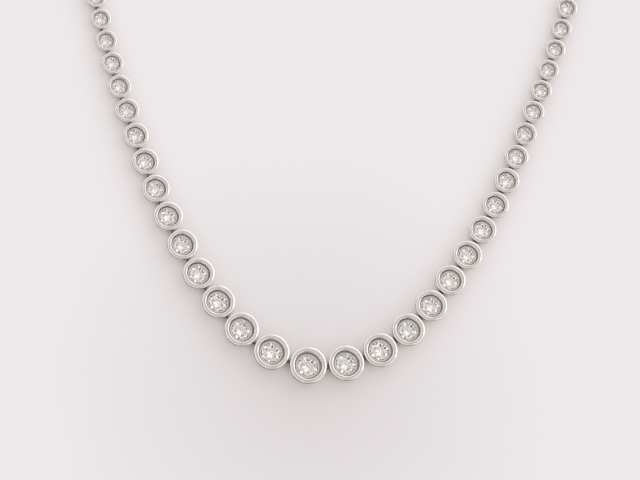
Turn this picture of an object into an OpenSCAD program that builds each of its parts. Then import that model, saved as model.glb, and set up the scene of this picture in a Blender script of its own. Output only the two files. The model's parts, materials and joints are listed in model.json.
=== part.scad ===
// A graduated diamond line necklace, laid flat in its closed loop.
// Round tube settings, linked by interlocking wire eyes and staples, each hold one brilliant-cut stone.
// Millimetres, +Z up, origin on the ground under the middle of the loop's box.

/* [Stones and settings] */
// Outer diameter of the setting at the centre of the front
centre_d = 7.6; // [7.2:0.1:7.8]
// Outer diameter of the small settings round the back
back_d = 4.2; // [4.2:0.1:4.5]
// Places from the centre over which the settings grow smaller
graded_places = 14; // [12:1:16]
// How fast the sizes fall off next to the centre (1 is an even taper)
grading_power = 1.2; // [1:0.1:1.4]
// Gap between the rims of two neighbours
rim_gap = 0.35; // [0.35:0.05:0.5]
// Stone radius as a share of the setting's radius
stone_share = 0.56; // [0.54:0.01:0.58]
// Clear space all round a stone
stone_clear = 0.11; // [0.1:0.01:0.12]

/* [Links] */
// Radius of the wire of the eyes and staples
wire_r = 0.14; // [0.13:0.01:0.14]
// Radius of their bends, at the middle of the wire
bend_r = 0.4; // [0.39:0.01:0.41]

/* [Clasp] */
// Shortest clasp; its real length is what the settings leave of the loop
clasp_min = 8.5; // [7:0.5:9]
// Width of the clasp
clasp_w = 4.2; // [4:0.1:4.6]

/* [Hidden] */
// Places on each side of the centre whose setting and stone are nodes of their own
single = 9;
// Facets of round shapes, and the two colours
$fn = 48;
metal = [0.91, 0.9, 0.89];
diamond = [0.8, 0.88, 0.95, 0.9];

// The closed centre line, seen from above, from the centre stone round the right side and back
route = [
    [0, 0], [11, 1.6], [20.4, 7.6], [29.4, 18.2], [38.8, 33.6], [46.4, 51.4], [53.4, 71],
    [58.4, 92], [58.4, 116.5], [44, 139.5], [13, 151], [-20, 145], [-40, 125.5], [-44.8, 99],
    [-40.8, 71.4], [-35, 50], [-27.4, 29.6], [-18.6, 13.8], [-9.8, 4.2]
];
leg_steps = 20;

// The centre line between two route points is a cubic whose slopes lean to the shorter neighbour leg
function knot(i) = route[(i + len(route)) % len(route)];
function leg(i) = knot(i + 1) - knot(i);
function leg_size(i) = norm(leg(i));
function slope(i) =
    let (before = leg_size(i - 1), after = leg_size(i))
    (leg(i - 1) * after / before + leg(i) * before / after) / (before + after);
function on_leg(i, t) =
    (2 * t^3 - 3 * t^2 + 1) * knot(i)
    + (t^3 - 2 * t^2 + t) * leg_size(i) * slope(i)
    + (3 * t^2 - 2 * t^3) * knot(i + 1)
    + (t^3 - t^2) * leg_size(i) * slope(i + 1);
trail = [for (i = [0:len(route)]) for (j = [0:(i < len(route) ? leg_steps - 1 : 0)]) on_leg(i, j / leg_steps)];

// Distance run along the trail, and the place at a given distance
function hop(i) = i < len(trail) ? norm(trail[i] - trail[i - 1]) : 0;
run = [for (i = 0, s = 0; i < len(trail); i = i + 1, s = s + hop(i)) s];
loop_size = run[len(run) - 1];
run_x = [for (i = [0:len(run) - 1]) [run[i], trail[i].x]];
run_y = [for (i = [0:len(run) - 1]) [run[i], trail[i].y]];
function wrapped(s) = s < 0 ? s + loop_size : (s > loop_size ? s - loop_size : s);
function on_loop(s) = [lookup(wrapped(s), run_x), lookup(wrapped(s), run_y)];

// Outer radius of the setting at a place counted from the centre
function outer_r(k) = back_d / 2 + (centre_d - back_d) / 2 * max(0, 1 - k / graded_places)^grading_power;

// Distances along the loop from the centre to each place, forward (1) on the right and back (-1) on the left
function next_s(s, way, d) = s + way * d * d / norm(on_loop(s + way * d) - on_loop(s));
function pitch(k) = outer_r(k) + outer_r(k + 1) + rim_gap;
side_room = (loop_size - clasp_min) / 2 - rim_gap;
function side_places(way) = [
    for (k = 0, s = 0; abs(s) + outer_r(k) < side_room; s = next_s(s, way, pitch(k)), k = k + 1) s
];
right_s = side_places(1);
left_s = side_places(-1);
side_count = min(len(right_s), len(left_s)) - 1;

// The loop's box, so that the model stands with the middle of its box at the origin
box_x = [min([for (p = trail) p.x]), max([for (p = trail) p.x])];
box_y = [-outer_r(0), max([for (p = trail) p.y]) + outer_r(graded_places)];
box_middle = [(box_x[0] + box_x[1]) / 2, (box_y[0] + box_y[1]) / 2];

// Places are numbered round the loop: 0 is the centre, right places are positive, left ones negative
function place(k) = on_loop(k < 0 ? left_s[-k] : right_s[k]) - box_middle;
function place_r(k) = outer_r(abs(k));

// Radii of one setting, as shares of its outer radius
foot_share = 0.7;
foot_bore_share = 0.6;
neck_share = 0.9;
band_foot_share = 0.97;
groove_share = 0.94;
rim_share = 0.985;
rim_bend_share = 0.955;
crest_share = 0.77;
bore_share = 0.748;
throat_share = 0.728;
recess_share = 0.7;

// Heights and widths of its details, as shares of the outer radius
band_bevel_share = 0.03;
groove_drop_share = 0.17;
groove_roof_share = 0.12;
rim_low_share = 0.08;
rim_edge_share = 0.052;
rim_fall_share = 0.022;
bore_drop_share = 0.012;
throat_drop_share = 0.05;
lip_wall_share = 0.05;
lip_rise_share = 0.04;
lip_bevel_share = 0.01;

// Heights inside one setting, each a fixed part and a share of its outer radius
function top_z(r) = 0.25 + 0.9 * r;
function shoulder_z(r) = 1 + 0.08 * r;
function recess_depth(r) = 0.55 + 0.2 * r;
function ledge_z(r) = top_z(r) - recess_depth(r);
function base_r(r, z) = r * (foot_share + (neck_share - foot_share) * z / shoulder_z(r));
function stone_r(r) = stone_share * r;

// The girdle lies a little below the ledge; the seat's cone ends at a share of the stone's radius
girdle_drop = 0.02;
seat_in_share = 0.8;
function girdle_z(r) = ledge_z(r) - girdle_drop;

// Stone proportions, as shares of its radius
table_share = 0.68;
crown_share = 0.22;
star_share = 0.85;
girdle_share = 0.04;
lower_share = 0.24;
pavilion_slope = tan(41);
girdle_step = 22.5;
// Each stone is turned this much further about its own axis than the one before
turn_step = 17;

// Links hang this far below the lower of the two neighbours' shoulders
link_drop = wire_r + bend_r + 0.06;
// Depth of the legs' ends in the wall, and reach of each bend past the middle of the gap
link_root = 0.3;
link_lap = 0.22;
// The legs are this much thinner than the bend, and reach this far into its ends
leg_step = 0.01;
leg_lap = 0.05;
wire_sides = 16;

// Half of the section of a setting of outer radius r: rim, groove, band, tapered foot, seat and open back
module setting_section(r) {
    top = top_z(r);
    shoulder = shoulder_z(r);
    ledge = ledge_z(r);
    bevel = band_bevel_share * r;
    band_top = top - groove_drop_share * r;
    seat_r = stone_r(r) + stone_clear;
    lip_r = seat_r + lip_wall_share * r;
    lip_top = ledge + lip_rise_share * r;
    seat_top = girdle_z(r) - girdle_share * stone_r(r) - 0.7 * stone_clear;
    seat_in = seat_in_share * stone_r(r);
    seat_low = seat_top - (seat_r - seat_in) * pavilion_slope;
    polygon([
        [foot_share * r, 0],
        [neck_share * r, shoulder],
        [band_foot_share * r, shoulder],
        [r, shoulder + bevel],
        [r, band_top - bevel],
        [r - bevel, band_top],
        [groove_share * r, band_top],
        [groove_share * r, top - groove_roof_share * r],
        [rim_share * r, top - rim_low_share * r],
        [rim_share * r, top - rim_edge_share * r],
        [rim_bend_share * r, top - rim_fall_share * r],
        [crest_share * r, top],
        [bore_share * r, top - bore_drop_share * r],
        [throat_share * r, top - throat_drop_share * r],
        [recess_share * r, ledge],
        [lip_r, ledge],
        [lip_r - lip_bevel_share * r, lip_top],
        [seat_r, lip_top],
        [seat_r, seat_top],
        [seat_in, seat_low],
        [foot_bore_share * r, 0]
    ]);
}

// A wire U in the XY plane, its bend's middle line ending at x = 0, its legs running back to x = -reach
module wire_u(reach) {
    translate([-bend_r, 0, 0])
        rotate([0, 0, -90])
            rotate_extrude(angle = 180)
                translate([bend_r, 0])
                    circle(wire_r, $fn = wire_sides);
    for (side = [-1, 1])
        translate([-reach, side * bend_r, 0])
            rotate([0, 90, 0])
                cylinder(r = wire_r - leg_step, h = reach - bend_r + leg_lap, $fn = wire_sides);
}

// The U soldered to a body at point a, reaching along the line to the neighbour at point b.
// own and edge are the body's half widths at the link's height and at its rim.
// far is the neighbour's half width at its rim.
module link_u(a, b, own, edge, far, z, upright) {
    gap_mid = edge + (norm(b - a) - edge - far) / 2;
    way = b - a;
    tip = gap_mid + link_lap;
    translate([a.x, a.y, z])
        rotate([0, 0, atan2(way.y, way.x)])
            translate([tip, 0, 0])
                rotate([upright ? 90 : 0, 0, 0])
                    wire_u(tip - own + link_root);
}

function link_z(r_a, r_b) = min(shoulder_z(r_a), shoulder_z(r_b)) - link_drop;

// The clasp fills the loop between the last settings on the two sides
end_room = outer_r(side_count) + rim_gap;
clasp_a = on_loop(right_s[side_count] + end_room) - box_middle;
clasp_b = on_loop(left_s[side_count] - end_room) - box_middle;
clasp_mid = (clasp_a + clasp_b) / 2;
clasp_way = clasp_b - clasp_a;
clasp_half = norm(clasp_way) / 2;

// One setting with its two links; the last setting on each side is linked to the clasp
module setting(k) {
    r = place_r(k);
    here = place(k);
    ahead_last = k == side_count;
    behind_last = k == -side_count;
    r_ahead = ahead_last ? back_d / 2 : place_r(k + 1);
    r_behind = behind_last ? back_d / 2 : place_r(k - 1);
    z_ahead = link_z(r, r_ahead);
    z_behind = link_z(r, r_behind);
    color(metal) {
        translate(here) rotate_extrude() setting_section(r);
        if (ahead_last)
            link_u(here, clasp_mid, base_r(r, z_ahead), r, clasp_half, z_ahead, true);
        else
            link_u(here, place(k + 1), base_r(r, z_ahead), r, r_ahead, z_ahead, true);
        if (behind_last)
            link_u(here, clasp_mid, base_r(r, z_behind), r, clasp_half, z_behind, false);
        else
            link_u(here, place(k - 1), base_r(r, z_behind), r, r_behind, z_behind, false);
    }
}

// Brilliant cut: table, stars, kites, upper halves, girdle, lower halves and pavilion mains, for radius 1.
// z = 0 is the girdle's upper edge.
function ring_point(turn, radius, z) = [radius * cos(turn), radius * sin(turn), z];
kite_slope = crown_share / (1 - table_share);
star_z = crown_share - (star_share * cos(girdle_step) - table_share) * kite_slope;
lower_z = -girdle_share - (1 - lower_share * cos(girdle_step)) * pavilion_slope;
brilliant_points = concat(
    [for (i = [0:7]) ring_point(2 * i * girdle_step, table_share, crown_share)],
    [for (i = [0:7]) ring_point((2 * i + 1) * girdle_step, star_share, star_z)],
    [for (j = [0:15]) ring_point(j * girdle_step, 1, 0)],
    [for (j = [0:15]) ring_point(j * girdle_step, 1, -girdle_share)],
    [for (i = [0:7]) ring_point((2 * i + 1) * girdle_step, lower_share, lower_z)],
    [[0, 0, -girdle_share - pavilion_slope]]
);
function table_at(i) = i % 8;
function star_at(i) = 8 + i % 8;
function upper_at(j) = 16 + j % 16;
function under_at(j) = 32 + j % 16;
function lower_at(i) = 48 + i % 8;
culet = 56;
brilliant_faces = concat(
    [[for (i = [7:-1:0]) table_at(i)]],
    [for (i = [0:7]) [table_at(i), table_at(i + 1), star_at(i)]],
    [for (i = [0:7]) [table_at(i + 1), star_at(i + 1), upper_at(2 * i + 2), star_at(i)]],
    [for (i = [0:7]) [star_at(i), upper_at(2 * i + 1), upper_at(2 * i)]],
    [for (i = [0:7]) [star_at(i), upper_at(2 * i + 2), upper_at(2 * i + 1)]],
    [for (j = [0:15]) [upper_at(j), upper_at(j + 1), under_at(j + 1), under_at(j)]],
    [for (i = [0:7]) [lower_at(i), under_at(2 * i), under_at(2 * i + 1)]],
    [for (i = [0:7]) [lower_at(i), under_at(2 * i + 1), under_at(2 * i + 2)]],
    [for (i = [0:7]) [lower_at(i), under_at(2 * i + 2), lower_at(i + 1), culet]]
);

// One stone, a little clear of its seat; each is turned differently about its own axis
module stone(k) {
    r = place_r(k);
    here = place(k);
    color(diamond)
        translate([here.x, here.y, girdle_z(r)])
            rotate([0, 0, turn_step * k])
                polyhedron([for (p = brilliant_points) p * stone_r(r)], brilliant_faces);
}

// Box clasp: a foot set back under a wider body with bevelled corners, linked like the settings
clasp_setback = 0.42;
clasp_bevel = 0.5;
clasp_barrel_r = clasp_w;
module clasp_plan(half, wide, bevel) {
    polygon([
        [-half, -wide + bevel], [-half + bevel, -wide], [half - bevel, -wide], [half, -wide + bevel],
        [half, wide - bevel], [half - bevel, wide], [-half + bevel, wide], [-half, wide - bevel]
    ]);
}

module clasp() {
    r = back_d / 2;
    top = top_z(r);
    shoulder = shoulder_z(r);
    z = link_z(r, r);
    foot_half = clasp_half - clasp_setback;
    color(metal) {
        translate([clasp_mid.x, clasp_mid.y, 0])
            rotate([0, 0, atan2(clasp_way.y, clasp_way.x)]) {
                linear_extrude(shoulder) clasp_plan(foot_half, clasp_w / 2 - clasp_setback / 2, clasp_bevel);
                intersection() {
                    translate([0, 0, shoulder])
                        linear_extrude(top - shoulder)
                            clasp_plan(clasp_half, clasp_w / 2, clasp_bevel);
                    translate([-2 * clasp_half, 0, top - clasp_barrel_r])
                        rotate([0, 90, 0])
                            cylinder(r = clasp_barrel_r, h = 4 * clasp_half);
                }
            }
        link_u(clasp_mid, place(-side_count), foot_half, clasp_half, r, z, true);
        link_u(clasp_mid, place(side_count), foot_half, clasp_half, r, z, false);
    }
}

module settings_right() {
    for (k = [single + 1:side_count]) setting(k);
}

module settings_left() {
    for (k = [single + 1:side_count]) setting(-k);
}

module stones_right() {
    for (k = [single + 1:side_count]) stone(k);
}

module stones_left() {
    for (k = [single + 1:side_count]) stone(-k);
}

setting(0);  // setting_centre
stone(0);  // stone_centre
for (k = [1:single]) {
    setting(k);
    setting(-k);
    stone(k);
    stone(-k);
}
settings_right();
settings_left();
stones_right();
stones_left();
clasp();
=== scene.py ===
"""Dresses a graduated diamond line necklace that lies in its closed loop on a pale table."""

import json
import logging
import math
from dataclasses import dataclass, field
from enum import Enum
from typing import ClassVar, Iterable, Optional, Sequence, Union

import bmesh
import bpy
import numpy as np
from mathutils import Matrix, Quaternion, Vector


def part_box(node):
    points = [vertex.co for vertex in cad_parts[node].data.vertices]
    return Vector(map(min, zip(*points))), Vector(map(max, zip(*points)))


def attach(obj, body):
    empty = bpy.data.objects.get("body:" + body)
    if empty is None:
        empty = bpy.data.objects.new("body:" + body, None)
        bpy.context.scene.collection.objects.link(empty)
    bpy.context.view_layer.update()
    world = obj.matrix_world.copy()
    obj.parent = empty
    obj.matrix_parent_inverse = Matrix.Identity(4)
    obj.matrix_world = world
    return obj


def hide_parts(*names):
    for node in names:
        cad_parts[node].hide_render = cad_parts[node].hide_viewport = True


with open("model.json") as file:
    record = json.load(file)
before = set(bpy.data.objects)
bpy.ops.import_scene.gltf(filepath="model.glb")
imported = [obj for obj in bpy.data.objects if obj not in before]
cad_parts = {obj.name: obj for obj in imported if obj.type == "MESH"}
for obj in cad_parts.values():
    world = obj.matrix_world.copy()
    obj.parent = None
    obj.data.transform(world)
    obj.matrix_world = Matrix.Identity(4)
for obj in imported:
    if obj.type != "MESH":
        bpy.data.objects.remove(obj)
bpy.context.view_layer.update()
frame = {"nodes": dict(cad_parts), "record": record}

LOG = logging.getLogger("necklace")
MM = 0.001
BODY = "root"

Number = Union[int, float]
Colour = tuple[float, float, float]
Span = tuple[float, float]
Corner = tuple[float, float, float]
Point = tuple[float, float, float]
Ring = list[tuple[float, float]]


class Slot(Enum):
    """Material slots of the record that new pieces take their finish from."""

    METAL = "white_gold"
    STONE = "diamond"


class Way(Enum):
    """Which way round the loop a wire link reaches."""

    AHEAD = 1
    BEHIND = -1


class Sock:
    """A shader socket whose arithmetic adds Math nodes."""

    def __init__(self, tree: "Shade", socket: Optional[bpy.types.NodeSocket]) -> None:
        """Keeps the tree that the socket lives in.

        Args:
            tree: the node tree helper that adds nodes.
            socket: the output socket to work with.
        """
        self.tree = tree
        self.socket = socket

    def _math(self, operation: str, *values: Union["Sock", Number]) -> "Sock":
        """Adds one Math node.

        Args:
            operation: the Math node's operation.
            values: its inputs, in order.

        Returns:
            The node's output.
        """
        sockets = dict(enumerate(values))
        return self.tree.node("ShaderNodeMath", {"operation": operation}, sockets)

    def __add__(self, other: Union["Sock", Number]) -> "Sock":
        """Sum."""
        return self._math("ADD", self, other)

    def __radd__(self, other: Number) -> "Sock":
        """Sum, reflected."""
        return self._math("ADD", other, self)

    def __sub__(self, other: Union["Sock", Number]) -> "Sock":
        """Difference."""
        return self._math("SUBTRACT", self, other)

    def __rsub__(self, other: Number) -> "Sock":
        """Difference, reflected."""
        return self._math("SUBTRACT", other, self)

    def __mul__(self, other: Union["Sock", Number]) -> "Sock":
        """Product."""
        return self._math("MULTIPLY", self, other)

    def __rmul__(self, other: Number) -> "Sock":
        """Product, reflected."""
        return self._math("MULTIPLY", other, self)

    def __truediv__(self, other: Union["Sock", Number]) -> "Sock":
        """Quotient."""
        return self._math("DIVIDE", self, other)

    def __pow__(self, other: Number) -> "Sock":
        """Power."""
        return self._math("POWER", self, other)

    def clamped(self) -> "Sock":
        """This, kept between 0 and 1."""
        return self.tree.node("ShaderNodeClamp", {}, {"Value": self})

    def across(self, span: Span) -> "Sock":
        """Share of the way that this has gone over a span, from 0 to 1."""
        low, high = span
        return ((self - low) * (1 / (high - low))).clamped()


class Shade:
    """Builds one node tree, of a material or of the world."""

    def __init__(self, tree: bpy.types.NodeTree) -> None:
        """Empties the tree and gets ready to fill it.

        Args:
            tree: the node tree to build in.
        """
        tree.nodes.clear()
        self.tree = tree

    def node(
        self,
        kind: str,
        settings: dict[str, object],
        values: dict[Union[str, int], object],
        output: Union[str, int] = 0,
    ) -> Sock:
        """Adds any node.

        Args:
            kind: the node's type name.
            settings: properties that are set first; "stops" fills a colour ramp.
            values: socket name or number to a value or to a Sock that is linked in.
            output: the output socket that is handed back.

        Returns:
            The chosen output, ready for arithmetic; a tree's last node has none.
        """
        made = self.tree.nodes.new(kind)
        for name, value in settings.items():
            if name == "stops":
                self._fill_ramp(made.color_ramp, value)
            else:
                setattr(made, name, value)
        for name, value in values.items():
            if isinstance(value, Sock):
                self.tree.links.new(value.socket, made.inputs[name])
            else:
                made.inputs[name].default_value = value
        return Sock(self, made.outputs[output] if made.outputs else None)

    @staticmethod
    def _fill_ramp(ramp: bpy.types.ColorRamp, stops: Sequence[tuple[float, Colour]]) -> None:
        """Puts the stops into a colour ramp.

        Args:
            ramp: the ramp of a new node, which has two elements.
            stops: position and colour of each stop.
        """
        while len(ramp.elements) < len(stops):
            ramp.elements.new(0.5)
        for element, (position, colour) in zip(ramp.elements, stops):
            element.position = position
            element.color = (*colour, 1.0)

    def mix(self, factor: Union[Sock, Number], first: object, second: object) -> Sock:
        """Blends two colours.

        Args:
            factor: 0 gives the first and 1 the second.
            first: a colour or a Sock.
            second: a colour or a Sock.

        Returns:
            The blended colour.
        """
        pair = [value if isinstance(value, Sock) else (*value, 1.0) for value in (first, second)]
        return self.node(
            "ShaderNodeMix", {"data_type": "RGBA"}, {0: factor, 6: pair[0], 7: pair[1]}, output=2
        )

    def place(self, scale: Number) -> Sock:
        """Object coordinates in a unit of one's own.

        Args:
            scale: units to the metre.

        Returns:
            The scaled coordinates.
        """
        coordinates = self.node("ShaderNodeTexCoord", {}, {}, output="Object")
        return self.node(
            "ShaderNodeVectorMath", {"operation": "SCALE"}, {0: coordinates, "Scale": scale}
        )

    def noise(self, size_mm: float, detail: float = 2.0, distortion: float = 0.0) -> Sock:
        """Soft noise whose patches are about a given size.

        Args:
            size_mm: patch size in millimetres.
            detail: octaves of finer noise.
            distortion: how far the patches are warped.

        Returns:
            A value round 0.5.
        """
        values = {"Vector": self.place(1 / (size_mm * MM)), "Scale": 1.0, "Detail": detail}
        values["Distortion"] = distortion
        return self.node("ShaderNodeTexNoise", {}, values)

    def open_share(self, reach_mm: float) -> Sock:
        """Share of the surroundings that is open.

        Args:
            reach_mm: how near a surface must be to count, in millimetres.

        Returns:
            1 in the open, less in corners.
        """
        return self.node(
            "ShaderNodeAmbientOcclusion", {"samples": 6}, {"Distance": reach_mm * MM}, output="AO"
        )

    def surface(self, values: dict[str, object]) -> None:
        """Ends a material's tree with its shell and its output.

        Args:
            values: the shell's socket names to values or to Socks.
        """
        shell = self.node("ShaderNodeBsdfPrincipled", {}, values)
        self.node("ShaderNodeOutputMaterial", {}, {"Surface": shell})


def new_material(name: str) -> tuple[bpy.types.Material, Shade]:
    """Starts a node material.

    Args:
        name: its name.

    Returns:
        The material, and its empty tree.
    """
    made = bpy.data.materials.new(name)
    made.use_nodes = True
    return made, Shade(made.node_tree)


@dataclass(frozen=True)
class WhiteGold:
    """Polished, rhodium-plated white gold with faint polishing marks, painted shade in its
    recesses, corners and undersides, and a painted sheen on its upright walls.

    Attributes:
        name: the material's name.
        bright: its colour.
        warm: its colour in soft, warmer patches.
        warm_span: values of the ripples over which it turns warm.
        side: painted sheen, its colour on upright walls, which are painted lighter as if more
            light fell on them.
        painted_sheen_span: squared rise of the surface's normal over which the painted sheen ends.
        under: painted shade, its colour on undersides.
        painted_underside_shade_span: rise of the normal over which the painted shade on undersides
            ends.
        painted_hollow_shade: painted shade, its colour deep in the recess and between settings.
        painted_hollow_shade_mm: how near walls must stand to make that painted shade.
        painted_hollow_shade_span: open share over which the painted shade ends.
        line: painted shade, its colour in sharp inner corners.
        painted_line_shade_mm: how near walls must stand to make that painted shade.
        painted_line_shade_span: open share over which the painted shade in the corners ends.
        smooth: its roughness between the polishing marks.
        worn: its roughness on them.
        ripple_mm: size of its soft ripples.
        mark_mm: size of the polishing marks.
        ripple_depth: depth of the ripples, in millimetres.
        mark_depth: depth of the marks, in millimetres.
    """

    name: str = "polished_white_gold"
    bright: Colour = (0.80, 0.75, 0.725)
    warm: Colour = (0.73, 0.67, 0.635)
    warm_span: Span = (0.35, 0.975)
    side: Colour = (0.97, 0.93, 0.91)
    painted_sheen_span: Span = (0.0, 0.0833)
    under: Colour = (0.24, 0.22, 0.21)
    painted_underside_shade_span: Span = (-0.15, -0.025)
    painted_hollow_shade: Colour = (0.16, 0.145, 0.135)
    painted_hollow_shade_mm: float = 2.6
    painted_hollow_shade_span: Span = (0.1, 0.457)
    line: Colour = (0.05, 0.045, 0.04)
    painted_line_shade_mm: float = 0.35
    painted_line_shade_span: Span = (0.24, 0.657)
    smooth: float = 0.03
    worn: float = 0.1
    ripple_mm: float = 0.9
    mark_mm: float = 0.12
    ripple_depth: float = 0.006
    mark_depth: float = 0.0012

    def material(self) -> bpy.types.Material:
        """Builds the material.

        Returns:
            A new node material.
        """
        made, shade = new_material(self.name)
        ripple = shade.noise(self.ripple_mm, 1.0)
        marks = shade.noise(self.mark_mm, 3.0, 1.5)
        polished = shade.mix(ripple.across(self.warm_span), self.bright, self.warm)
        normal = shade.node("ShaderNodeNewGeometry", {}, {}, output="Normal")
        up = shade.node("ShaderNodeSeparateXYZ", {}, {0: normal}, output="Z")
        # Painted sheen: upright walls are painted lighter, as if more light fell on them
        sides = shade.mix((up * up).across(self.painted_sheen_span), self.side, polished)
        # Painted shade: undersides are painted darker
        plain = shade.mix(up.across(self.painted_underside_shade_span), self.under, sides)
        # Painted shade: darker where walls stand near, deep in the recess and between settings
        wide, fine = shade.open_share(self.painted_hollow_shade_mm), shade.open_share(self.painted_line_shade_mm)
        shaded = shade.mix(wide.across(self.painted_hollow_shade_span), self.painted_hollow_shade, plain)
        # Painted shade: darker still in sharp inner corners
        tone = shade.mix(fine.across(self.painted_line_shade_span), self.line, shaded)
        height = ripple * self.ripple_depth + marks * self.mark_depth
        bump = {"Strength": 1.0, "Distance": MM, "Height": height}
        shade.surface(
            {
                "Base Color": tone,
                "Metallic": 1.0,
                "Roughness": self.smooth + (self.worn - self.smooth) * (marks ** 3),
                "Normal": shade.node("ShaderNodeBump", {}, bump),
            }
        )
        return made


@dataclass(frozen=True)
class Diamond:
    """Colourless diamond with faint tints, and painted yellowish glints of fire in places.

    Attributes:
        name: the material's name.
        clear: its colour.
        tint: its colour in faint patches.
        tint_mm: size of the faint patches.
        painted_fire_glint: painted glint of fire, its yellowish colour in a few places.
        painted_fire_glint_mm: size of those painted glints.
        painted_fire_glint_span: values of their noise over which they begin.
        edge: painted shade, its colour along the lip that holds it.
        painted_edge_shade_mm: how near the lip counts for the painted shade.
        painted_edge_shade_span: open share over which the painted shade ends.
        ior: its index of refraction.
    """

    name: str = "colourless_diamond"
    clear: Colour = (0.95, 0.905, 0.875)
    tint: Colour = (0.87, 0.82, 0.775)
    tint_mm: float = 0.8
    painted_fire_glint: Colour = (0.97, 0.94, 0.80)
    painted_fire_glint_mm: float = 2.0
    painted_fire_glint_span: Span = (0.58, 0.747)
    edge: Colour = (0.3, 0.285, 0.27)
    painted_edge_shade_mm: float = 0.4
    painted_edge_shade_span: Span = (0.5, 0.75)
    ior: float = 2.42

    def material(self) -> bpy.types.Material:
        """Builds the material.

        Returns:
            A new node material.
        """
        made, shade = new_material(self.name)
        plain = shade.mix(shade.noise(self.tint_mm, 0.0), self.clear, self.tint)
        # Painted glints: a few yellowish places stand in for the stone's fire
        painted_fire_glint_share = shade.noise(self.painted_fire_glint_mm, 0.0).across(self.painted_fire_glint_span)
        inside = shade.mix(painted_fire_glint_share, plain, self.painted_fire_glint)
        # Painted shade: the stone is darker where it stands near the lip
        open_share = shade.open_share(self.painted_edge_shade_mm).across(self.painted_edge_shade_span)
        shade.surface(
            {
                "Base Color": shade.mix(open_share, self.edge, inside),
                "Roughness": 0.0,
                "IOR": self.ior,
                "Transmission Weight": 1.0,
            }
        )
        return made


@dataclass(frozen=True)
class PaleTable:
    """Matt, nearly white board with a breath of pink, painted light that lightens its shadows, and
    a painted shadow round one spot.

    Attributes:
        name: the material's name.
        light: its colour.
        dark: its colour in the painted shadow round one spot.
        painted_shadow_spot_mm: the painted shadow's middle, in millimetres.
        reach_mm: how far the painted shadow reaches.
        painted_glow: colour of painted light that the board gives off, though it is no lamp, to
            lighten its shadows.
        painted_glow_strength: its strength.
        gap_mm: how near pieces must stand to shut that painted light out, which leaves the gaps
            darker.
        gap_span: open share over which they do.
        patch_mm: size of the faint unevenness.
        patch_depth: its strength, as a share of the step from light to dark.
    """

    name: str = "pale_table"
    light: Colour = (0.385, 0.405, 0.455)
    dark: Colour = (0.257, 0.275, 0.32)
    painted_shadow_spot_mm: tuple[float, float, float] = (-8.0, -80.0, 0.0)
    reach_mm: float = 52.0
    painted_glow: Colour = (1.0, 0.872, 0.8)
    painted_glow_strength: float = 0.47
    gap_mm: float = 3.0
    gap_span: Span = (0.1, 0.35)
    patch_mm: float = 40.0
    patch_depth: float = 0.2

    def material(self) -> bpy.types.Material:
        """Builds the material.

        Returns:
            A new node material.
        """
        made, shade = new_material(self.name)
        # Painted shadow: the board darkens towards one spot near the front of the loop
        away = shade.node(
            "ShaderNodeVectorMath",
            {"operation": "DISTANCE"},
            {0: shade.place(1 / MM), 1: self.painted_shadow_spot_mm},
            output="Value",
        )
        near = (1 - away / self.reach_mm).clamped()
        uneven = (shade.noise(self.patch_mm, 1.0) - 0.5) * self.patch_depth
        # Painted light: the board glows though it is no lamp, less in narrow gaps between pieces
        through = shade.open_share(self.gap_mm).across(self.gap_span)
        shade.surface(
            {
                "Base Color": shade.mix((near + uneven).clamped(), self.light, self.dark),
                "Roughness": 0.85,
                "Specular IOR Level": 0.2,
                "Emission Color": shade.mix(through, (0.0, 0.0, 0.0), self.painted_glow),
                "Emission Strength": self.painted_glow_strength,
            }
        )
        return made


class Solid:
    """Gathers vertices and faces of one mesh, in millimetres."""

    def __init__(self) -> None:
        """Starts with nothing."""
        self.points: list[np.ndarray] = []
        self.faces: list[tuple[int, ...]] = []
        self.count = 0

    def add(self, points: np.ndarray, faces: Iterable[tuple[int, ...]]) -> None:
        """Adds a closed part.

        Args:
            points: its vertices, one row each.
            faces: its faces, as numbers of its own vertices.
        """
        self.points.append(points)
        self.faces.extend(tuple(self.count + corner for corner in face) for face in faces)
        self.count += len(points)

    def grid(self, rows: np.ndarray, capped: bool = False) -> None:
        """Adds a skin over rings of points.

        Args:
            rows: array of rings by points by 3; each ring is closed.
            capped: True closes the first and last ring with a face, False joins them.
        """
        rings, sides = rows.shape[:2]
        last = rings - 1 if capped else rings
        faces: list[tuple[int, ...]] = []
        for i in range(last):
            below, above = i * sides, (i + 1) % rings * sides
            for j in range(sides):
                k = (j + 1) % sides
                faces.append((below + j, below + k, above + k, above + j))
        if capped:
            faces.append(tuple(reversed(range(sides))))
            faces.append(tuple(range((rings - 1) * sides, rings * sides)))
        self.add(rows.reshape(-1, 3), faces)

    def piece(self, name: str, smooth: bool) -> bpy.types.Object:
        """Makes the object.

        Args:
            name: the piece's name.
            smooth: True shades its faces smooth, with normals led by the large faces.

        Returns:
            A new object in the scene, in metres.
        """
        mesh = bpy.data.meshes.new(name)
        mesh.from_pydata((np.vstack(self.points) * MM).tolist(), [], self.faces)
        mesh.polygons.foreach_set("use_smooth", [smooth] * len(mesh.polygons))
        mesh.validate()
        mesh.update()
        made = bpy.data.objects.new(name, mesh)
        bpy.context.scene.collection.objects.link(made)
        if smooth:
            made.modifiers.new("even_normals", "WEIGHTED_NORMAL").weight = 100
        return made


def rounded(corners: Sequence[Corner], steps: int) -> Ring:
    """Rounds the corners of a closed outline.

    Args:
        corners: x, y and rounding radius of each corner.
        steps: segments in each rounding.

    Returns:
        The outline's points.
    """
    outline: Ring = []
    total = len(corners)
    for i, (x, y, radius) in enumerate(corners):
        here = Vector((x, y))
        before = Vector(corners[i - 1][:2]) - here
        after = Vector(corners[(i + 1) % total][:2]) - here
        if radius <= 0:
            outline.append((x, y))
            continue
        cut = min(radius, 0.45 * before.length, 0.45 * after.length)
        start = here + before.normalized() * cut
        end = here + after.normalized() * cut
        for step in range(steps + 1):
            t = step / steps
            point = start.lerp(here, t).lerp(here.lerp(end, t), t)
            outline.append((point.x, point.y))
    return outline


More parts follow.
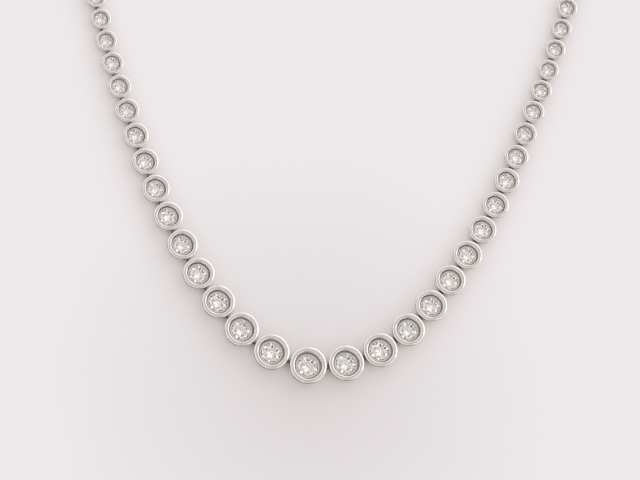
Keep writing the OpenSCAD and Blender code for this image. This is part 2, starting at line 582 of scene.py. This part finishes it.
@dataclass(frozen=True)
class Place:
    """Where one setting, or the clasp, sits in the line; lengths are in millimetres.

    Attributes:
        middle: its middle on the table.
        radius: half its width along the line, at the rim.
        ring: outer radius that its heights follow.
        turn: how far its stone is turned, in degrees.
    """

    middle: Vector
    radius: float
    ring: float
    turn: float = 0.0


@dataclass(frozen=True)
class StoneShape:
    """Proportions of the brilliant cut, as shares of the stone's radius.

    Attributes:
        table: radius of the table.
        crown: height of the crown.
        star: radius of the star facets' lower points.
        girdle: height of the girdle.
        lower: radius of the lower halves' inner points.
        pavilion: depth of the pavilion.
    """

    table: float = 0.68
    crown: float = 0.22
    star: float = 0.85
    girdle: float = 0.04
    lower: float = 0.24
    pavilion: float = math.tan(math.radians(41))

    @property
    def height(self) -> float:
        """Whole height of the stone."""
        return self.crown + self.girdle + self.pavilion

    def points(self) -> np.ndarray:
        """Works out the 57 corners.

        Returns:
            One row for each corner, for radius 1, with the girdle's upper edge at z = 0.
        """
        half = math.radians(22.5)
        slope = self.crown / (1 - self.table)
        star_z = self.crown - (self.star * math.cos(half) - self.table) * slope
        lower_z = -self.girdle - (1 - self.lower * math.cos(half)) * self.pavilion
        rings = [
            (self.table, self.crown, range(0, 16, 2)),
            (self.star, star_z, range(1, 16, 2)),
            (1.0, 0.0, range(16)),
            (1.0, -self.girdle, range(16)),
            (self.lower, lower_z, range(1, 16, 2)),
        ]
        corners = [
            (radius * math.cos(turn * half), radius * math.sin(turn * half), z)
            for radius, z, turns in rings
            for turn in turns
        ]
        corners.append((0.0, 0.0, -self.girdle - self.pavilion))
        return np.array(corners)

    def faces(self) -> list[tuple[int, ...]]:
        """Lists the 73 facets.

        Returns:
            Corner numbers of each facet, anticlockwise from outside.
        """
        table, star, upper, under, lower, culet = 0, 8, 16, 32, 48, 56
        facets: list[tuple[int, ...]] = [tuple(range(8))]
        for i in range(8):
            n, a, b, c = (i + 1) % 8, 2 * i, 2 * i + 1, (2 * i + 2) % 16
            facets += [
                (table + n, table + i, star + i),
                (table + n, star + i, upper + c, star + n),
                (star + i, upper + a, upper + b),
                (star + i, upper + b, upper + c),
                (lower + i, under + b, under + a),
                (lower + i, under + c, under + b),
                (lower + i, culet, lower + n, under + c),
            ]
        for j in range(16):
            k = (j + 1) % 16
            facets.append((upper + k, upper + j, under + j, under + k))
        return facets


STONE = StoneShape()


@dataclass(frozen=True)
class Detail:
    """How finely round shapes are cut up.

    Attributes:
        sides: sides of each turned body.
        corner_steps: steps of each rounded corner.
        wire_sides: sides of the wire.
        bend_steps: steps of the wire's bend.
    """

    sides: int
    corner_steps: int
    wire_sides: int
    bend_steps: int


FINE = Detail(sides=96, corner_steps=4, wire_sides=16, bend_steps=24)
PLAIN = Detail(sides=40, corner_steps=2, wire_sides=10, bend_steps=12)


@dataclass(frozen=True)
class TubeShape:
    """Proportions of a round tube setting; shares are of its outer radius, lengths in millimetres.

    Attributes:
        stone_share: radius of the stone.
        foot_share: radius of the foot ring.
        bore_share: radius of the open back.
        neck_share: radius of the tapered foot under the band.
        band_share: radius of the band's edge at the groove.
        groove_share: radius at the bottom of the groove.
        rim_share: radius of the rim.
        recess_share: radius of the recess at the ledge.
        band_drop: how far the band's edge lies below the rim's top, as a share.
        groove_drop: how far the bottom of the groove lies below it, as a share.
        lip_rise: height of the burnished lip over the ledge, as a share.
        seat_in: inner radius of the seat, as a share of the stone's.
        seat_slope: slope of the seat.
        stone_clear: gap between the stone and its seat.
        girdle_drop: how far the girdle lies below the ledge.
        rim_height: height of the rim, as a length and a share.
        band_height: height of the band's underside, as a length and a share.
        recess_depth: depth of the ledge below the rim, as a length and a share.
    """

    stone_share: float = 0.56
    foot_share: float = 0.7
    bore_share: float = 0.6
    neck_share: float = 0.9
    band_share: float = 0.99
    groove_share: float = 0.917
    rim_share: float = 0.98
    recess_share: float = 0.7
    band_drop: float = 0.217
    groove_drop: float = 0.145
    lip_rise: float = 0.04
    seat_in: float = 0.8
    seat_slope: float = math.tan(math.radians(41))
    stone_clear: float = 0.11
    girdle_drop: float = 0.02
    rim_height: tuple[float, float] = (0.25, 0.9)
    band_height: tuple[float, float] = (1.0, 0.08)
    recess_depth: tuple[float, float] = (0.55, 0.2)

    def top(self, r: float) -> float:
        """Height of the rim."""
        length, share = self.rim_height
        return length + share * r

    def shoulder(self, r: float) -> float:
        """Height of the band's underside."""
        length, share = self.band_height
        return length + share * r

    def ledge(self, r: float) -> float:
        """Height of the flat ledge inside the rim."""
        length, share = self.recess_depth
        return self.top(r) - length - share * r

    def girdle(self, r: float) -> float:
        """Height of the upper edge of the stone's girdle."""
        return self.ledge(r) - self.girdle_drop

    def foot_radius(self, r: float, z: float) -> float:
        """Radius of the tapered foot at a height."""
        widening = self.neck_share - self.foot_share
        return r * (self.foot_share + widening * z / self.shoulder(r))

    def _band(self, r: float) -> list[Corner]:
        """Draws the tapered foot, the slightly barrelled band and the groove.

        Args:
            r: the setting's outer radius.

        Returns:
            Radius, height and rounding of each corner, from the foot up.
        """
        top, shoulder = self.top(r), self.shoulder(r)
        band_top = top - self.band_drop * r
        return [
            (self.foot_share * r, 0.0, 0.06),
            (self.neck_share * r, shoulder, 0.015),
            (0.96 * r, shoulder, 0.03),
            (0.968 * r, shoulder + 0.03 * r, 0.05),
            (r, 0.4 * shoulder + 0.6 * band_top, 0.2),
            (self.band_share * r, band_top, 0.02 * r),
            (self.groove_share * r, top - self.groove_drop * r, 0.01 * r),
        ]

    def _rim(self, r: float) -> list[Corner]:
        """Draws the rim, bevelled inside and outside.

        Args:
            r: the setting's outer radius.

        Returns:
            Radius, height and rounding of each corner, from the groove to the recess.
        """
        top = self.top(r)
        return [
            (self.rim_share * r, top - 0.085 * r, 0.01 * r),
            (self.rim_share * r, top - 0.06 * r, 0.01 * r),
            (0.972 * r, top - 0.045 * r, 0.01 * r),
            (0.908 * r, top - 0.012 * r, 0.012 * r),
            (0.795 * r, top, 0.012 * r),
            (0.745 * r, top - 0.022 * r, 0.01 * r),
            (0.728 * r, top - 0.05 * r, 0.012 * r),
        ]

    def _seat(self, r: float) -> list[Corner]:
        """Draws the ledge, the lip burnished over the stone's edge, the seat and the open back.

        Args:
            r: the setting's outer radius.

        Returns:
            Radius, height and rounding of each corner, from the recess down.
        """
        stone, ledge, girdle = self.stone_share * r, self.ledge(r), self.girdle(r)
        seat, lip_top = stone + self.stone_clear, ledge + self.lip_rise * r
        lip_low = girdle + 0.055 * stone
        seat_top = girdle - STONE.girdle * stone - 0.7 * self.stone_clear
        seat_low = seat_top - (seat - self.seat_in * stone) * self.seat_slope
        return [
            (self.recess_share * r, ledge, 0.05),
            (seat + 0.07 * r, ledge, 0.02),
            (seat + 0.055 * r, lip_top, 0.06),
            (0.975 * stone, lip_top - 0.012 * r, 0.03),
            (0.97 * stone, lip_low, 0.01),
            (seat, lip_low - 0.02, 0.01),
            (seat, seat_top, 0.02),
            (self.seat_in * stone, seat_low, 0.04),
            (self.bore_share * r, 0.0, 0.06),
        ]

    def outline(self, r: float, detail: Detail) -> Ring:
        """Draws half of the section.

        Args:
            r: the setting's outer radius.
            detail: how finely to cut up the roundings.

        Returns:
            Radius and height of each point, anticlockwise.
        """
        return rounded([*self._band(r), *self._rim(r), *self._seat(r)], detail.corner_steps)


@dataclass(frozen=True)
class WireShape:
    """Wire of the links, in millimetres.

    Attributes:
        wire: radius of the wire.
        bend: radius of the bend's middle line.
        root: how deep the legs' ends reach into the wall.
        lap: how far each bend reaches past the middle of the gap.
        drop: how far the links lie below the band's underside.
    """

    wire: float = 0.14
    bend: float = 0.4
    root: float = 0.3
    lap: float = 0.22
    drop: float = 0.6

    def path(self, reach: float, detail: Detail) -> list[tuple[float, float]]:
        """Draws the middle line of a U whose bend ends at 0.

        Args:
            reach: length from the bend's end to the legs' ends.
            detail: how finely to cut up the bend.

        Returns:
            Forward and sideways place of each point.
        """
        turns = [math.pi * (i / detail.bend_steps - 0.5) for i in range(detail.bend_steps + 1)]
        bend = [
            (self.bend * (math.cos(turn) - 1), self.bend * math.sin(turn)) for turn in turns
        ]
        return [(-reach, -self.bend), *bend, (-reach, self.bend)]

    def add(
        self,
        solid: Solid,
        start: Vector,
        end: Vector,
        widths: tuple[float, float, float],
        z: float,
        upright: bool,
        detail: Detail,
    ) -> None:
        """Adds one U, soldered to a body and reaching to its neighbour.

        Args:
            solid: the mesh to add to.
            start: middle of the body that the U is on.
            end: middle of the neighbour.
            widths: half widths of the body at the link and at its rim, and of the neighbour.
            z: height of the link.
            upright: True stands the U up, False lays it flat.
            detail: how finely to cut up the wire.
        """
        own, edge, far = widths
        span = end - start
        forward = span.normalized()
        side = Vector((0, 0, 1)) if upright else Vector((-forward.y, forward.x, 0))
        tip = edge + (span.length - edge - far) / 2 + self.lap
        path = self.path(tip - own + self.root, detail)
        line = [
            Vector((start.x, start.y, z)) + forward * (tip + along) + side * across
            for along, across in path
        ]
        solid.grid(tube(line, forward.cross(side), self.wire, detail.wire_sides), capped=True)


def tube(line: Sequence[Vector], normal: Vector, radius: float, sides: int) -> np.ndarray:
    """Sweeps a circle along a flat line.

    Args:
        line: points of the middle line.
        normal: direction across the plane that the line lies in.
        radius: radius of the circle.
        sides: how many points the circle has.

    Returns:
        Rings of points.
    """
    rings = []
    for i, point in enumerate(line):
        before, after = line[max(i - 1, 0)], line[min(i + 1, len(line) - 1)]
        across = (after - before).normalized().cross(normal)
        turns = [math.tau * j / sides for j in range(sides)]
        rings.append(
            [point + (normal * math.cos(t) + across * math.sin(t)) * radius for t in turns]
        )
    return np.array([[tuple(corner) for corner in ring] for ring in rings])


TUBE = TubeShape()
WIRE = WireShape()


@dataclass
class Ornament:
    """A piece that stands for one construction node.

    Attributes:
        node: name of the node.
        thing: the piece's object, once it is built.
    """

    node: str
    thing: bpy.types.Object = field(init=False)

    slot: ClassVar[Slot] = Slot.METAL

    def build(self) -> None:
        """Makes the piece's mesh."""
        raise NotImplementedError

    def dress(self, finish: bpy.types.Material) -> None:
        """Gives the piece its material and ties it to the frame.

        Args:
            finish: the material.
        """
        self.thing.data.materials.append(finish)
        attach(self.thing, BODY)
        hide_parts(self.node)

    def report(self) -> None:
        """Logs the piece and its size."""
        LOG.info("%s: %d faces", self.thing.name, len(self.thing.data.polygons))


@dataclass
class Settings(Ornament):
    """One tube setting, or the small ones of one side.

    Attributes:
        line: all the places of the necklace in order, and the clasp's at the end.
        members: numbers in the line of the settings that this piece holds.
        detail: how finely to cut them up.
    """

    line: list[Place] = field(default_factory=list)
    members: list[int] = field(default_factory=list)
    detail: Detail = FINE

    def build(self) -> None:
        """Turns each setting and adds its two links."""
        solid = Solid()
        for number in self.members:
            self._turn(solid, self.line[number])
            self._link(solid, number, Way.AHEAD)
            self._link(solid, number, Way.BEHIND)
        self.thing = solid.piece("tube_" + self.node, smooth=True)

    def _turn(self, solid: Solid, place: Place) -> None:
        """Adds the turned body of one setting.

        Args:
            solid: the mesh to add to.
            place: where the setting stands.
        """
        outline = np.array(TUBE.outline(place.radius, self.detail))
        turns = np.linspace(0, math.tau, self.detail.sides, endpoint=False)
        rows = np.empty((len(outline), len(turns), 3))
        rows[..., 0] = place.middle.x + outline[:, :1] * np.cos(turns)
        rows[..., 1] = place.middle.y + outline[:, :1] * np.sin(turns)
        rows[..., 2] = outline[:, 1:]
        solid.grid(rows)

    def _link(self, solid: Solid, number: int, way: Way) -> None:
        """Adds the U towards one neighbour.

        Args:
            solid: the mesh to add to.
            number: the setting's number in the line.
            way: which neighbour.
        """
        place = self.line[number]
        other = self.line[(number + way.value) % len(self.line)]
        height = min(TUBE.shoulder(place.ring), TUBE.shoulder(other.ring)) - WIRE.drop
        widths = (TUBE.foot_radius(place.radius, height), place.radius, other.radius)
        upright = way is Way.AHEAD
        WIRE.add(solid, place.middle, other.middle, widths, height, upright, self.detail)


@dataclass
class Stones(Ornament):
    """One brilliant, or the small ones of one side.

    Attributes:
        places: where the stones sit.
    """

    places: list[Place] = field(default_factory=list)

    slot: ClassVar[Slot] = Slot.STONE

    def build(self) -> None:
        """Cuts each stone, turned about its own axis."""
        solid = Solid()
        corners, facets = STONE.points(), STONE.faces()
        for place in self.places:
            turn = np.array(Matrix.Rotation(math.radians(place.turn), 3, "Z"))
            seat = np.array((*place.middle.xy, TUBE.girdle(place.radius)))
            solid.add(corners @ turn.T * (TUBE.stone_share * place.radius) + seat, facets)
        self.thing = solid.piece("cut_" + self.node, smooth=False)


@dataclass
class Clasp(Ornament):
    """Plain box clasp with a barrelled top and a seam round its box.

    Attributes:
        line: all the places of the necklace in order, and the clasp's at the end.
        along: direction from its right end to its left end.
        wide: its width.
        setback: how far its foot's ends are set back; the sides are set back half as far.
        bevel: how much its corners are cut off.
        rounding: how much their edges are rounded.
        rounding_steps: steps of each rounding.
        seam_level: where the seam runs, from the body's underside (0) to the sides' top (1).
        side_drop: how far the sides' top lies below the middle of the barrel, about.
        detail: how finely to cut up the links.
    """

    line: list[Place] = field(default_factory=list)
    along: Vector = field(default_factory=lambda: Vector((1, 0, 0)))
    wide: float = 4.2
    setback: float = 0.42
    bevel: float = 0.5
    rounding: float = 0.15
    rounding_steps: int = 3
    seam_level: float = 0.45
    side_drop: float = 0.5
    detail: Detail = FINE

    def build(self) -> None:
        """Stacks the clasp's outlines and adds its two links."""
        solid = Solid()
        own = self.line[-1]
        top, shoulder = TUBE.top(own.ring), TUBE.shoulder(own.ring)
        seam = shoulder + self.seam_level * (top - self.side_drop - shoulder)
        ends, sides = self.setback, self.setback / 2
        # Setback of the ends, setback of the sides, height, and share of the barrel's rounding
        levels = [
            (ends + 0.06, sides + 0.06, 0.0, 0.0),
            (ends, sides, 0.06, 0.0),
            (ends, sides, shoulder - 0.01, 0.0),
            (ends, sides, shoulder, 0.0),
            (0.05, 0.05, shoulder, 0.0),
            (0.0, 0.0, shoulder + 0.05, 0.0),
            (0.0, 0.0, seam - 0.05, 0.0),
            (0.05, 0.05, seam, 0.0),
            (0.0, 0.0, seam + 0.05, 0.0),
            (0.0, 0.0, top - 0.12, 1.0),
            (0.012, 0.012, top - 0.06, 1.0),
            (0.06, 0.06, top - 0.012, 1.0),
            (0.12, 0.12, top, 1.0),
            (0.6, 0.6, top, 1.0),
            (1.2, 1.2, top, 1.0),
            (1.8, 1.8, top, 1.0),
        ]
        rows = np.array([self._ring(*level) for level in levels])
        solid.grid(rows, capped=True)
        height = shoulder - WIRE.drop
        first, last = 0, -2
        for number, upright in ((first, True), (last, False)):
            other = self.line[number]
            widths = (own.radius - self.setback, own.radius, other.radius)
            WIRE.add(solid, own.middle, other.middle, widths, height, upright, self.detail)
        self.thing = solid.piece("box_clasp", smooth=True)

    def _ring(self, ends: float, sides: float, z: float, barrel: float) -> list[Point]:
        """Draws one outline of the clasp.

        Args:
            ends: how far its ends lie inside the widest outline's.
            sides: how far its sides lie inside the widest outline's.
            z: its height at the clasp's middle line.
            barrel: how much of the top's rounding it follows, 0 to 1.

        Returns:
            Its points, anticlockwise from above.
        """
        half, wide = self.line[-1].radius - ends, self.wide / 2 - sides
        cut = min(self.bevel, 0.6 * wide)
        # Seven points along each end let it follow the arch of the barrel
        arch = [(wide - cut) * (i / 4 - 1) for i in range(1, 8)]
        one_side = [
            (-half, -wide + cut, self.rounding),
            (-half + cut, -wide, self.rounding),
            (half - cut, -wide, self.rounding),
            (half, -wide + cut, self.rounding),
            *((half, y, 0.0) for y in arch),
        ]
        plan = one_side + [(-x, -y, radius) for x, y, radius in one_side]
        across = Vector((-self.along.y, self.along.x, 0))
        middle = self.line[-1].middle
        ring = []
        for x, y in rounded(plan, self.rounding_steps):
            fall = self.wide - math.sqrt(self.wide**2 - y**2)
            point = middle + self.along * x + across * y
            ring.append((point.x, point.y, z - barrel * fall))
        return ring


@dataclass(frozen=True)
class Row:
    """The necklace's places in order.

    Attributes:
        places: the settings from the left end round the front to the right end, then the clasp.
        centre: number of the largest setting.
        along: direction of the clasp, from its right end to its left end.
    """

    places: list[Place]
    centre: int
    along: Vector


@dataclass(frozen=True)
class Line:
    """Reads the places of the whole necklace from the frame.

    Attributes:
        single: places on each side of the centre that are nodes of their own.
        turn_step: how much further each stone is turned than the one before, in degrees.
    """

    single: int = 9
    turn_step: float = 17.0

    def read(self) -> Row:
        """Finds all the places.

        Returns:
            The row of places.
        """
        right, left = self._side("r", "right"), self._side("l", "left")
        found = [*reversed(left), self._seat(*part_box("stone_centre")), *right]
        seats = [
            Place(seat.middle, seat.radius, seat.ring, self.turn_step * (i - len(left)))
            for i, seat in enumerate(found)
        ]
        clasp, along = self._clasp(seats[-1], seats[0])
        return Row([*seats, clasp], len(left), along)

    def _seat(self, low: Vector, high: Vector) -> Place:
        """Works out a setting from its stone's box.

        Args:
            low: the box's lowest corner, in metres.
            high: its highest corner, in metres.

        Returns:
            The setting's place, the turn not yet set.
        """
        radius = (high.z - low.z) / MM / STONE.height / TUBE.stone_share
        middle = (low + high) / (2 * MM)
        return Place(Vector((middle.x, middle.y, 0)), radius, radius)

    def _side(self, letter: str, side: str) -> list[Place]:
        """Lists one side's places, from the centre outwards.

        Args:
            letter: the side's letter in the single nodes' names.
            side: the side's word in the whole node's name.

        Returns:
            The places, the turn not yet set.
        """
        chain = [self._seat(*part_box(f"stone_{letter}{i + 1}")) for i in range(self.single)]
        loose = [self._seat(*box) for box in self._islands(f"stones_{side}")]
        while loose:
            end = chain[-1].middle
            nearest = min(loose, key=lambda seat: (seat.middle - end).length)
            loose.remove(nearest)
            chain.append(nearest)
        return chain

    @staticmethod
    def _islands(node: str) -> list[tuple[Vector, Vector]]:
        """Finds the loose parts of a node.

        Args:
            node: the node's name.

        Returns:
            Lowest and highest corner of each part, in metres.
        """
        mesh = bmesh.new()
        mesh.from_mesh(frame["nodes"][node].data)
        bmesh.ops.remove_doubles(mesh, verts=mesh.verts, dist=1e-6)
        left, boxes = set(mesh.verts), []
        while left:
            patch = [left.pop()]
            for corner in patch:
                beside = {edge.other_vert(corner) for edge in corner.link_edges} & left
                left -= beside
                patch.extend(beside)
            spots = np.array([corner.co for corner in patch])
            boxes.append((Vector(spots.min(0)), Vector(spots.max(0))))
        mesh.free()
        return boxes

    @staticmethod
    def _clasp(right_end: Place, left_end: Place) -> tuple[Place, Vector]:
        """Works out the clasp's place from its node.

        Args:
            right_end: the last setting on the right.
            left_end: the last setting on the left.

        Returns:
            The clasp's place and its direction.
        """
        ring = left_end.ring
        # The body above the foot, whose farthest points are the corners of its two ends
        spots = np.array([corner.co for corner in frame["nodes"]["clasp"].data.vertices]) / MM
        body = np.unique(spots[spots[:, 2] > TUBE.shoulder(ring) + 0.02][:, :2].round(3), axis=0)
        rest = next(m for m in frame["record"]["mounts"] if m["name"] == "back_rest")
        middle = np.array(rest["pos_m"][:2]) / MM
        reach = np.hypot(*(body - middle).T)
        ends = body[reach > reach.max() - 0.05] - middle
        way = np.array((left_end.middle - right_end.middle).xy)
        end = ends[ends @ way > 0].mean(axis=0)
        direction = Vector((*end, 0))
        place = Place(Vector((*middle, 0)), direction.length, ring)
        return place, direction.normalized()


@dataclass(frozen=True)
class Table:
    """The board that the necklace lies on.

    Attributes:
        half: half its width, in metres.
    """

    half: float = 4.0

    def build(self) -> bpy.types.Object:
        """Makes the board.

        Returns:
            The board's object, without a finish.
        """
        mesh = bpy.data.meshes.new("table_top")
        h = self.half
        mesh.from_pydata([(-h, -h, 0), (h, -h, 0), (h, h, 0), (-h, h, 0)], [], [(0, 1, 2, 3)])
        made = bpy.data.objects.new("table_top", mesh)
        bpy.context.scene.collection.objects.link(made)
        return made


def towards(azimuth: float, elevation: float) -> Vector:
    """Works out a direction in the room.

    Args:
        azimuth: its side, in degrees anticlockwise from +X.
        elevation: its height, in degrees.

    Returns:
        The unit vector.
    """
    turn, rise = math.radians(azimuth), math.radians(elevation)
    flat = math.cos(rise)
    return Vector((math.cos(turn) * flat, math.sin(turn) * flat, math.sin(rise)))


@dataclass(frozen=True)
class Softbox:
    """A large soft lamp that points at the necklace's middle.

    Attributes:
        name: the lamp's name.
        azimuth: its side of the table, in degrees anticlockwise from +X.
        elevation: its height, in degrees.
        distance: how far away it stands, in metres.
        size: its width and height, in metres.
        power: its power in watts.
        colour: its tint.
        for_stones: True shows it only through the stones.
    """

    name: str
    azimuth: float
    elevation: float
    distance: float
    size: tuple[float, float]
    power: float
    colour: Colour = (1.0, 1.0, 1.0)
    for_stones: bool = False

    def build(self) -> bpy.types.Object:
        """Puts the lamp up.

        Returns:
            The lamp's object.
        """
        lamp = bpy.data.lights.new(self.name, "AREA")
        lamp.shape, lamp.energy, lamp.color = "RECTANGLE", self.power, self.colour
        lamp.size, lamp.size_y = self.size
        made = bpy.data.objects.new(self.name, lamp)
        away = towards(self.azimuth, self.elevation)
        made.location = away * self.distance
        made.rotation_mode = "QUATERNION"
        made.rotation_quaternion = away.to_track_quat("Z", "Y")
        made.visible_camera = False
        made.visible_glossy = False
        made.visible_diffuse = not self.for_stones
        made.visible_transmission = self.for_stones
        bpy.context.scene.collection.objects.link(made)
        return made


@dataclass(frozen=True)
class Patch:
    """A round soft-edged patch of the room that is darker or brighter than the rest.

    Attributes:
        azimuth: its side, in degrees anticlockwise from +X.
        elevation: its height, in degrees.
        inner: radius of its full part, in degrees.
        outer: radius where it ends, in degrees.
        colour: its colour.
    """

    azimuth: float
    elevation: float
    inner: float
    outer: float
    colour: Colour

    def over(self, shade: Shade, direction: Sock, tone: Sock) -> Sock:
        """Lays the patch over the room's colour.

        Args:
            shade: the world's tree.
            direction: the direction looked in.
            tone: the colour without the patch.

        Returns:
            The colour with the patch.
        """
        near = shade.node(
            "ShaderNodeVectorMath",
            {"operation": "DOT_PRODUCT"},
            {0: direction, 1: towards(self.azimuth, self.elevation)},
            output="Value",
        )
        inner, outer = math.cos(math.radians(self.inner)), math.cos(math.radians(self.outer))
        share = shade.node(
            "ShaderNodeMapRange",
            {"interpolation_type": "SMOOTHSTEP"},
            {"Value": near, "From Min": outer, "From Max": inner},
        )
        return shade.mix(share, tone, self.colour)


@dataclass(frozen=True)
class Dome:
    """The room round the table: bright at middle height, dimmer overhead, dark at the horizon.

    Attributes:
        stops: sine of the elevation and colour of each step of the shading.
        patches: brighter and darker places in it.
        strength: overall brightness.
    """

    stops: tuple[tuple[float, Colour], ...] = (
        (0.0, (0.12, 0.12, 0.125)),
        (0.12, (0.17, 0.17, 0.175)),
        (0.22, (0.65, 0.65, 0.65)),
        (0.34, (1.12, 1.11, 1.1)),
        (0.74, (1.12, 1.11, 1.1)),
        (0.87, (0.76, 0.755, 0.75)),
        (1.0, (0.68, 0.675, 0.67)),
    )
    patches: tuple[Patch, ...] = (
        # Dark places low on the near side and on the left, which the grooves mirror
        Patch(235.0, 10.0, 20.0, 33.0, (0.13, 0.13, 0.135)),
        Patch(177.0, 27.0, 8.0, 17.0, (0.25, 0.25, 0.255)),
        Patch(290.0, 14.0, 16.0, 26.0, (0.15, 0.15, 0.155)),
        Patch(331.0, 8.0, 8.0, 17.0, (0.2, 0.2, 0.205)),
        # Bright places low on the right and on the far side, which the rims' bevels mirror
        Patch(13.0, 28.0, 11.0, 23.0, (2.0, 2.0, 1.98)),
        Patch(50.0, 28.0, 15.0, 32.0, (1.55, 1.55, 1.54)),
        # Places high on the near side: a dimmer one, a brighter one, and a dark one like a camera
        Patch(283.0, 47.0, 9.0, 19.0, (0.75, 0.75, 0.745)),
        Patch(235.0, 58.0, 7.0, 14.0, (1.05, 1.05, 1.04)),
        Patch(235.0, 75.0, 5.0, 10.0, (0.12, 0.12, 0.125)),
    )
    strength: float = 1.0

    def build(self) -> bpy.types.World:
        """Makes the world.

        Returns:
            The world, set in the scene.
        """
        world = bpy.data.worlds.new("room")
        world.use_nodes = True
        bpy.context.scene.world = world
        shade = Shade(world.node_tree)
        direction = shade.node("ShaderNodeTexCoord", {}, {}, output="Generated")
        rise = shade.node("ShaderNodeSeparateXYZ", {}, {0: direction}, output="Z")
        tone = shade.node("ShaderNodeValToRGB", {"stops": self.stops}, {0: rise})
        for patch in self.patches:
            tone = patch.over(shade, direction, tone)
        room = shade.node("ShaderNodeBackground", {}, {"Color": tone, "Strength": self.strength})
        shade.node("ShaderNodeOutputWorld", {}, {"Surface": room})
        return world


@dataclass(frozen=True)
class Camera:
    """Long-lens camera that leans a little off straight down.

    Attributes:
        lean: degrees off straight down.
        lean_side: direction of the axis it leans about, in degrees below +X.
        aim: offset of the picture's middle from the largest stone, in millimetres.
        aim_height: height of the point that the offset is counted from.
        wide: width of the picture at the necklace, in millimetres.
        lens: focal length in millimetres.
        sensor: width of the film in millimetres.
    """

    lean: float = 16.0
    lean_side: float = 35.0
    aim: tuple[float, float] = (2.5, 25.26)
    aim_height: float = 2.4
    wide: float = 128.0
    lens: float = 600.0
    sensor: float = 36.0

    def build(self, target: Vector) -> bpy.types.Object:
        """Sets the camera up.

        Args:
            target: middle of the largest setting, in millimetres.

        Returns:
            The camera.
        """
        turn = math.radians(self.lean_side)
        axis = Vector((math.cos(turn), -math.sin(turn), 0))
        tilt = Quaternion(axis, math.radians(self.lean))
        distance = self.wide * self.lens / self.sensor
        spot = Vector((target.x, target.y, self.aim_height))
        shift = tilt @ Vector((*self.aim, distance))
        data = bpy.data.cameras.new("stand_camera")
        data.lens, data.sensor_width = self.lens, self.sensor
        data.clip_start, data.clip_end = 0.05, 50.0
        made = bpy.data.objects.new("stand_camera", data)
        made.location = (spot + shift) * MM
        made.rotation_mode = "QUATERNION"
        made.rotation_quaternion = tilt
        bpy.context.scene.collection.objects.link(made)
        bpy.context.scene.camera = made
        return made


@dataclass(frozen=True)
class Studio:
    """Table, lamps, room and camera.

    Attributes:
        table: the board.
        lamps: one that lights the table, and three seen only through the stones.
        room: what the metal and the stones mirror.
        camera: the camera.
    """

    table: Table = Table()
    lamps: tuple[Softbox, ...] = (
        Softbox("window_light", 50.0, 48.0, 1.2, (1.6, 1.6), 2.8, (1.0, 0.99, 0.98)),
        Softbox("high_spark", 55.0, 61.0, 1.2, (1.2, 0.9), 1.8, for_stones=True),
        Softbox("low_spark", 235.0, 58.0, 1.2, (0.5, 0.3), 0.3, for_stones=True),
        Softbox("side_spark", 10.0, 52.0, 1.2, (0.3, 0.3), 0.2, for_stones=True),
    )
    room: Dome = Dome()
    camera: Camera = Camera()

    def build(self, target: Vector) -> None:
        """Sets everything up.

        Args:
            target: middle of the largest setting, in millimetres.
        """
        board = self.table.build()
        board.data.materials.append(PaleTable().material())
        for lamp in self.lamps:
            lamp.build()
        self.room.build()
        self.camera.build(target)
        bpy.context.scene.view_settings.view_transform = "Standard"


def ornaments(row: Row, single: int) -> list[Ornament]:
    """Lists the necklace's pieces.

    Args:
        row: all the places.
        single: places on each side of the centre that are pieces of their own.

    Returns:
        The pieces, not yet built.
    """
    line, centre = row.places, row.centre
    made: list[Ornament] = []
    for i in range(-single, single + 1):
        word = "centre" if i == 0 else ("r" if i > 0 else "l") + str(abs(i))
        made.append(Settings("setting_" + word, line, [centre + i], FINE))
        made.append(Stones("stone_" + word, [line[centre + i]]))
    right = list(range(centre + single + 1, len(line) - 1))
    left = list(range(centre - single))
    for side, members in (("right", right), ("left", left)):
        made.append(Settings("settings_" + side, line, members, PLAIN))
        made.append(Stones("stones_" + side, [line[i] for i in members]))
    made.append(Clasp("clasp", line, row.along))
    return made


def main() -> None:
    """Builds the necklace and its studio."""
    logging.basicConfig(level=logging.INFO, format="%(name)s: %(message)s")
    reader = Line()
    row = reader.read()
    largest, smallest = row.places[row.centre], row.places[0]
    LOG.info("%d settings, %.2f to %.2f mm", len(row.places) - 1, largest.ring, smallest.ring)
    finishes = {Slot.METAL: WhiteGold().material(), Slot.STONE: Diamond().material()}
    for ornament in ornaments(row, reader.single):
        ornament.build()
        ornament.dress(finishes[ornament.slot])
        ornament.report()
    Studio().build(largest.middle)


if __name__ == "__main__":
    main()
